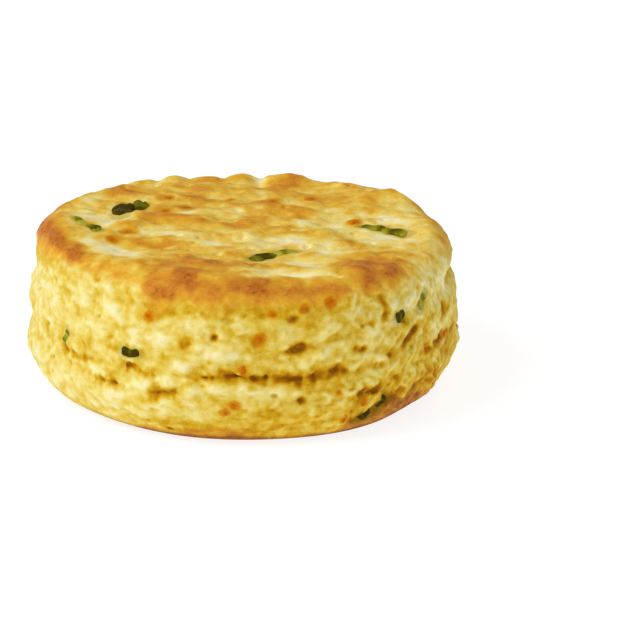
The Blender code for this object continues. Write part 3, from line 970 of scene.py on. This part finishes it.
# ---- materials -------------------------------------------------------------------------------------------
class Nodes:
    def __init__(self, name):
        self.material = bpy.data.materials.new(name)
        self.material.use_nodes = True
        self.tree = self.material.node_tree
        self.shader = self.tree.nodes["Principled BSDF"]
        self.place = self.tree.nodes.new("ShaderNodeTexCoord").outputs["Object"]

    def link(self, a, b):
        self.tree.links.new(a, b)

    def attribute(self, name):
        node = self.tree.nodes.new("ShaderNodeAttribute")
        node.attribute_name = name
        return node.outputs["Fac"]

    def noise(self, size_mm, detail=3.0, rough=0.5, stretch=(1.0, 1.0, 1.0), seed=0.0):
        mapping = self.tree.nodes.new("ShaderNodeMapping")
        mapping.inputs["Location"].default_value = (seed * 0.37, seed * 0.11, seed * 0.23)
        mapping.inputs["Scale"].default_value = tuple(1.0 / (size_mm * MM * s) for s in stretch)
        self.link(self.place, mapping.inputs["Vector"])
        node = self.tree.nodes.new("ShaderNodeTexNoise")
        node.inputs["Scale"].default_value = 1.0
        node.inputs["Detail"].default_value = detail
        node.inputs["Roughness"].default_value = rough
        self.link(mapping.outputs["Vector"], node.inputs["Vector"])
        return node.outputs["Fac"]

    def ramp(self, value, *stops):
        node = self.tree.nodes.new("ShaderNodeValToRGB")
        ramp = node.color_ramp
        while len(ramp.elements) < len(stops):
            ramp.elements.new(0.5)
        for element, (place, colour) in zip(ramp.elements, stops):
            element.position = place
            element.color = (*colour, 1.0) if isinstance(colour, tuple) else (colour, colour, colour, 1.0)
        self.link(value, node.inputs["Fac"])
        return node.outputs["Color"]

    def range(self, value, low, high, to_low=0.0, to_high=1.0):
        node = self.tree.nodes.new("ShaderNodeMapRange")
        node.inputs["From Min"].default_value, node.inputs["From Max"].default_value = low, high
        node.inputs["To Min"].default_value, node.inputs["To Max"].default_value = to_low, to_high
        self.link(value, node.inputs["Value"])
        return node.outputs["Result"]

    def math(self, kind, a, b):
        node = self.tree.nodes.new("ShaderNodeMath")
        node.operation = kind
        for socket, value in zip(node.inputs, (a, b)):
            if isinstance(value, (int, float)):
                socket.default_value = value
            else:
                self.link(value, socket)
        return node.outputs[0]

    def mix(self, factor, a, b, kind="MIX"):
        node = self.tree.nodes.new("ShaderNodeMix")
        node.data_type = "RGBA"
        node.blend_type = kind
        for socket, value in zip((node.inputs[0], node.inputs[6], node.inputs[7]), (factor, a, b)):
            if isinstance(value, tuple):
                socket.default_value = (*value, 1.0)
            elif isinstance(value, (int, float)):
                socket.default_value = value
            else:
                self.link(value, socket)
        return node.outputs[2]

    def bump(self, height, distance_mm, strength, under=None):
        node = self.tree.nodes.new("ShaderNodeBump")
        node.inputs["Strength"].default_value = strength
        node.inputs["Distance"].default_value = distance_mm * MM
        self.link(height, node.inputs["Height"])
        if under is not None:
            self.link(under, node.inputs["Normal"])
        return node.outputs["Normal"]


def srgb(r, g, b):
    """A colour as seen on a screen, 0 to 255, in linear light."""
    return tuple(c / 12.92 if c <= 0.04045 else ((c + 0.055) / 1.055) ** 2.4 for c in (r / 255, g / 255, b / 255))


CURD = srgb(249, 236, 180)
CREAM = srgb(241, 223, 134)
YELLOW = srgb(229, 197, 74)
GOLD = srgb(212, 164, 16)
AMBER = srgb(186, 122, 0)
OLIVE = srgb(140, 84, 0)
GOLDEN = srgb(226, 178, 34)
ORANGE = srgb(204, 112, 0)
HERB = srgb(150, 124, 0)
# Dark brown of the bottom edge ring: scorching and painted contact shade.
SCORCH_AND_CONTACT_SHADE = srgb(92, 48, 6)


def dough_material():
    n = Nodes("baked_dough")
    tone, bake, skin, melted, herb, edge = (n.attribute(name) for name in ("tone", "bake", "skin", "cheese", "herb", "edge"))
    grain = n.noise(1.1, 3.0, 0.6, (1.0, 1.0, 0.8), 8.0)
    speckle = n.noise(0.5, 2.0, 0.5, (1.0, 1.0, 1.0), 12.0)
    uneven = n.math("ADD", n.math("MULTIPLY", n.math("SUBTRACT", grain, 0.5), 0.34), n.math("MULTIPLY", n.math("SUBTRACT", speckle, 0.5), 0.16))

    crumb = n.ramp(n.math("ADD", tone, uneven), (0.08, CURD), (0.26, CREAM), (0.46, YELLOW), (0.64, GOLD), (0.82, AMBER), (1.0, OLIVE))
    crust = n.ramp(
        n.math("ADD", bake, uneven),
        (0.02, srgb(254, 240, 186)),
        (0.20, srgb(251, 227, 132)),
        (0.40, srgb(242, 200, 76)),
        (0.58, srgb(230, 170, 44)),
        (0.76, srgb(217, 144, 42)),
        (0.90, srgb(197, 116, 36)),
        (1.0, srgb(150, 80, 18)),
    )
    colour = n.mix(skin, crumb, crust)
    # The dark ring at the bottom edge: scorched, and also painted contact shade.
    colour = n.mix(n.math("MULTIPLY", edge, 0.70), colour, SCORCH_AND_CONTACT_SHADE)
    colour = n.mix(n.math("MULTIPLY", herb, 0.40), colour, HERB)
    # Butter-gold round each speck of cheese, and orange at the speck itself.
    spot = n.math("ADD", melted, n.math("MULTIPLY", n.math("SUBTRACT", grain, 0.5), 0.4))
    colour = n.mix(n.range(melted, 0.0, 0.6, 0.0, 0.9), colour, n.ramp(spot, (0.15, GOLDEN), (0.55, srgb(214, 144, 0)), (0.90, ORANGE)))
    n.link(colour, n.shader.inputs["Base Color"])

    rough = n.math("ADD", n.math("MULTIPLY", grain, 0.25), n.range(skin, 0.0, 1.0, 0.56, 0.42))
    n.link(rough, n.shader.inputs["Roughness"])
    n.shader.inputs["Specular IOR Level"].default_value = 0.07
    n.shader.inputs["Subsurface Weight"].default_value = 0.12
    n.shader.inputs["Subsurface Radius"].default_value = (1.0, 0.55, 0.2)
    n.shader.inputs["Subsurface Scale"].default_value = 0.0016
    fine = n.bump(n.noise(0.55, 4.0, 0.6, (1.0, 1.0, 0.85), 1.0), 0.12, 0.6)
    n.link(n.bump(grain, 0.25, 0.5, fine), n.shader.inputs["Normal"])
    return n.material


def chive_material():
    n = Nodes("baked_chive")
    shade = n.attribute("shade")
    streak = n.noise(0.8, 3.0, 0.6, (1.0, 1.0, 1.0), 2.0)
    leaf = n.ramp(
        n.math("ADD", shade, n.math("MULTIPLY", n.math("SUBTRACT", streak, 0.5), 0.5)),
        (0.0, srgb(68, 54, 0)),
        (0.30, srgb(98, 92, 0)),
        (0.60, srgb(142, 138, 10)),
        (1.0, srgb(200, 190, 70)),
    )
    n.link(leaf, n.shader.inputs["Base Color"])
    n.shader.inputs["Specular IOR Level"].default_value = 0.04
    n.link(n.range(streak, 0.2, 0.8, 0.45, 0.7), n.shader.inputs["Roughness"])
    n.link(n.bump(n.noise(0.35, 3.0, 0.6, (1.0, 1.0, 1.0), 4.0), 0.12, 0.6), n.shader.inputs["Normal"])
    return n.material


def cheese_material():
    n = Nodes("browned_cheese")
    n.shader.inputs["Specular IOR Level"].default_value = 0.05
    tone = n.noise(0.9, 3.0, 0.6, (1.0, 1.0, 1.0), 6.0)
    n.link(n.ramp(tone, (0.3, srgb(182, 82, 0)), (0.5, srgb(200, 106, 0)), (0.72, srgb(214, 142, 4))), n.shader.inputs["Base Color"])
    n.link(n.range(tone, 0.2, 0.8, 0.45, 0.7), n.shader.inputs["Roughness"])
    n.link(n.bump(n.noise(0.4, 3.0, 0.6, (1.0, 1.0, 1.0), 7.0), 0.1, 0.5), n.shader.inputs["Normal"])
    return n.material


def floor_material():
    n = Nodes("plain_floor")
    speck = n.noise(60.0, 2.0, 0.5, (1.0, 1.0, 1.0), 0.0)
    n.link(n.ramp(speck, (0.0, srgb(146, 146, 146)), (1.0, srgb(150, 150, 150))), n.shader.inputs["Base Color"])
    n.shader.inputs["Roughness"].default_value = 0.9
    n.shader.inputs["Specular IOR Level"].default_value = 0.0
    # Lit from within as well, so that it stays pale without throwing the biscuit's colour back.
    n.shader.inputs["Emission Color"].default_value = (1.0, 1.0, 1.0, 1.0)
    n.shader.inputs["Emission Strength"].default_value = 0.83
    return n.material


# ---- chives and cheese -----------------------------------------------------------------------------------
def surface_at(field, start, direction, reach=6.0):
    """First point where the field turns negative on the way from start along direction."""
    steps = np.arange(0.0, reach, 0.05, dtype=FLOAT)
    way = np.array(start, FLOAT)[None, :] + steps[:, None] * np.array(direction, FLOAT)[None, :]
    inside = np.nonzero(field.at(way, field.d) < 0)[0]
    return Vector(way[inside[0]]) if len(inside) else Vector(way[len(way) // 2])


CHIVE_STEPS = 26


def chive_places(field):
    """(points of the middle line, side, outward, width, thickness, shade) of each chive, laid along the dough."""
    made = []
    for lying, table in ((True, TOP_CHIVES), (False, SIDE_CHIVES)):
        for u, v, heading, length, width, thick, bend, sink, shade in table:
            line = []
            for i in range(CHIVE_STEPS + 1):
                s = -0.5 + i / CHIVE_STEPS
                across = math.radians(bend) * length * (s * s - 0.08)
                if lying:
                    h = math.radians(heading)
                    along, out = Vector((math.cos(h), math.sin(h), 0.0)), Vector((0.0, 0.0, 1.0))
                    side = along.cross(out)
                    foot = Vector((u, v, 33.0)) + along * (s * length) + side * across
                    reach = 12.0
                else:
                    foot, out, round_ = on_wall(u, v, 3.0)
                    along, up = tilted(round_, heading)
                    side = along.cross(out)
                    foot = foot + along * (s * length) + side * across
                    reach = 6.0
                line.append(surface_at(field, foot, -out, reach))
            # The strand is stiffer than the dough's bumps: its line is smoothed along itself.
            for _ in range(10):
                line = [line[0]] + [(a + b * 2.0 + c) * 0.25 for a, b, c in zip(line, line[1:], line[2:])] + [line[-1]]
            made.append(([q + out * thick * (0.5 - sink) for q in line], side, out, width, thick, shade))
    return made


def chives(places):
    """All the chives as one mesh: short flattened strands, shrivelled by baking, with a crease along each."""
    rng = np.random.default_rng(5)
    around = 20
    points, faces, shades = [], [], []
    for line, side, out, width, thick, shade in places:
        phase = rng.uniform(0, 6.28, 4)
        fullness = 1.6 + 1.3 * (line[-1] - line[0]).length / width
        rings = []
        for i, middle in enumerate(line):
            s = -1.0 + 2.0 * i / (len(line) - 1)
            blunt = math.sqrt(max(1.0 - abs(s) ** fullness, 0.004))
            swell = 1.0 + 0.08 * math.sin(2.6 * s + phase[0]) + 0.03 * math.sin(8.5 * s + phase[1])
            drift = 0.08 * width * math.sin(4.4 * s + phase[2])
            ring = []
            for k in range(around):
                t = 2 * math.pi * k / around
                w = 0.5 * width * swell * blunt * math.cos(t) * (1.0 + 0.06 * math.sin(3 * t + phase[1] + 2.0 * s))
                crease = 1.0 - 0.45 * math.exp(-((math.cos(t) - 0.25 * math.sin(2.5 * s + phase[3])) / 0.3) ** 2)
                h = 0.5 * thick * swell * blunt * math.sin(t) * (crease if math.sin(t) > 0 else 1.0)
                ring.append(len(points))
                points.append(tuple(middle + side * (w + drift) + out * h))
                light = 0.20 * math.sin(4.2 * s + phase[2]) + 0.07 * math.sin(9.0 * s + phase[3]) + 0.16 * abs(math.cos(t)) ** 3 + 0.24 * s ** 8
                shades.append(min(1.0, max(0.0, shade + light)))
            rings.append(ring)
        for low, high in zip(rings, rings[1:]):
            for k in range(around):
                j = (k + 1) % around
                faces.append((low[k], low[j], high[j]))
                faces.append((low[k], high[j], high[k]))
        for ring, turn in ((rings[0], True), (rings[-1], False)):
            middle = len(points)
            points.append(tuple(sum((Vector(points[k]) for k in ring), Vector()) / around))
            shades.append(shades[ring[0]])
            for k in range(around):
                j = (k + 1) % around
                faces.append((middle, ring[j], ring[k]) if turn else (middle, ring[k], ring[j]))
    mesh = mesh_from("chives", np.array(points, FLOAT), np.array(faces))
    set_attribute(mesh, "shade", np.array(shades))
    mesh.shade_smooth()
    return linked("chives", mesh)


def cheese_places(field):
    """(middle, outward, size) of each cheese speck."""
    made = []
    for angle, z, size in SIDE_CHEESE:
        start, outward, _ = on_wall(angle, z, 3.0)
        made.append((surface_at(field, start, -outward), outward, size))
    for x, y, size in TOP_CHEESE:
        made.append((surface_at(field, (x, y, 33.0), (0, 0, -1), 12.0), Vector((0, 0, 1.0)), size))
    return made


def cheese(places):
    """All the specks of cheese as one mesh: small melted lumps, mostly sunk."""
    rng = np.random.default_rng(17)
    rows, around = 8, 14
    points, faces = [], []
    for middle, outward, size in places:
        side = outward.orthogonal().normalized()
        other = outward.cross(side)
        turn = rng.uniform(0, 6.28)
        long_, short = size * rng.uniform(0.52, 0.78), size * rng.uniform(0.38, 0.54)
        phase = rng.uniform(0, 6.28, 3)
        first = len(points)
        points.append(tuple(middle - outward * size * 0.58))
        for i in range(1, rows):
            lat = -0.5 * math.pi + math.pi * i / rows
            for k in range(around):
                t = 2 * math.pi * k / around
                edge = 1.0 + 0.18 * math.sin(2 * t + phase[0]) + 0.17 * math.sin(3 * t + phase[1]) + 0.10 * math.sin(5 * t + phase[2])
                u, v = long_ * math.cos(t) * math.cos(lat) * edge, short * math.sin(t) * math.cos(lat) * edge
                cu, su = math.cos(turn), math.sin(turn)
                q = middle + side * (u * cu - v * su) + other * (u * su + v * cu)
                q = q + outward * (size * 0.34 * math.sin(lat) * (1.0 + 0.15 * math.sin(3 * t + phase[1])) - size * 0.24)
                points.append(tuple(q))
        points.append(tuple(middle + outward * size * 0.10))
        last = len(points) - 1
        for k in range(around):
            j = (k + 1) % around
            faces.append((first, first + 1 + j, first + 1 + k))
            base = first + 1 + (rows - 2) * around
            faces.append((last, base + k, base + j))
        for i in range(rows - 2):
            for k in range(around):
                j = (k + 1) % around
                a, b = first + 1 + i * around, first + 1 + (i + 1) * around
                faces.append((a + k, a + j, b + j))
                faces.append((a + k, b + j, b + k))
    mesh = mesh_from("cheese_specks", np.array(points, FLOAT), np.array(faces))
    mesh.shade_smooth()
    return linked("cheese_specks", mesh)


# ---- stage -----------------------------------------------------------------------------------------------
def floor():
    """A plain pale floor."""
    size, steps = 3000.0, 24
    axis = np.linspace(-size, size, steps + 1)
    points = np.array([(x, y, -0.02) for y in axis for x in axis], FLOAT)
    faces = np.array(
        [(j * (steps + 1) + i, j * (steps + 1) + i + 1, (j + 1) * (steps + 1) + i + 1, (j + 1) * (steps + 1) + i) for j in range(steps) for i in range(steps)]
    )
    obj = linked("floor", mesh_from("floor", points, faces))
    obj.data.materials.append(floor_material())
    return obj


def area_light(name, place, target, size, power, colour=(1.0, 1.0, 1.0)):
    light = bpy.data.lights.new(name, "AREA")
    light.shape = "DISK"
    light.size = size
    light.energy = power
    light.color = colour
    obj = bpy.data.objects.new(name, light)
    obj.location = place
    obj.rotation_euler = (Vector(target) - Vector(place)).to_track_quat("-Z", "Y").to_euler()
    bpy.context.scene.collection.objects.link(obj)
    return obj


def camera():
    """At the photo's height and side: 18.2 degrees above level, half a metre from the biscuit."""
    elevation, distance, focal = math.radians(18.2), 0.500, 2800.0
    aim = Vector((0.0, 0.0, 0.0135))
    forward = Vector((0.0, math.cos(elevation), -math.sin(elevation)))
    up = Vector((0.0, math.sin(elevation), math.cos(elevation)))
    right = Vector((1.0, 0.0, 0.0))
    # The aim is seen at (244.5, 304.5) in a frame of 640 by 640, so the view turns a little past it.
    look = (forward + right * ((320.0 - 244.5) / focal) + up * (-(320.0 - 304.5) / focal)).normalized()
    side = look.cross(up).normalized()
    above = side.cross(look)
    data = bpy.data.cameras.new("camera")
    data.sensor_width = 36.0
    data.lens = focal / 640.0 * 36.0
    data.clip_start, data.clip_end = 0.01, 20.0
    obj = bpy.data.objects.new("camera", data)
    turn = Matrix((side, above, -look)).transposed()
    obj.matrix_world = Matrix.Translation(aim - forward * distance) @ turn.to_4x4()
    bpy.context.scene.collection.objects.link(obj)
    bpy.context.scene.camera = obj


def light_room():
    world = bpy.data.worlds.new("studio")
    world.use_nodes = True
    world.node_tree.nodes["Background"].inputs["Color"].default_value = (1.0, 1.0, 1.0, 1.0)
    world.node_tree.nodes["Background"].inputs["Strength"].default_value = 0.44
    bpy.context.scene.world = world
    area_light("key", (-0.85, -0.35, 1.05), (0, 0, 0.01), 0.8, 9.6)
    area_light("fill", (0.1, -1.2, 0.5), (0, 0, 0.01), 0.9, 1.4)
    scene = bpy.context.scene
    scene.view_settings.view_transform = "Standard"
    scene.view_settings.look = "None"
    scene.view_settings.exposure = 0.0
    scene.view_settings.gamma = 1.0


def main():
    camera()
    field = shape_field()
    places = chive_places(field)
    specks_at = cheese_places(field)
    crumb = body_mesh(field)
    paint_body(crumb, field, specks_at, places)
    crumb.data.materials.append(dough_material())
    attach(crumb, "root")
    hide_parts("biscuit")

    green = chives(places)
    green.data.materials.append(chive_material())
    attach(green, "root")

    specks = cheese(specks_at)
    specks.data.materials.append(cheese_material())
    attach(specks, "root")

    floor()
    light_room()
    print("triangles", {o.name: triangles_in(o.data) for o in (crumb, green, specks)})


main()
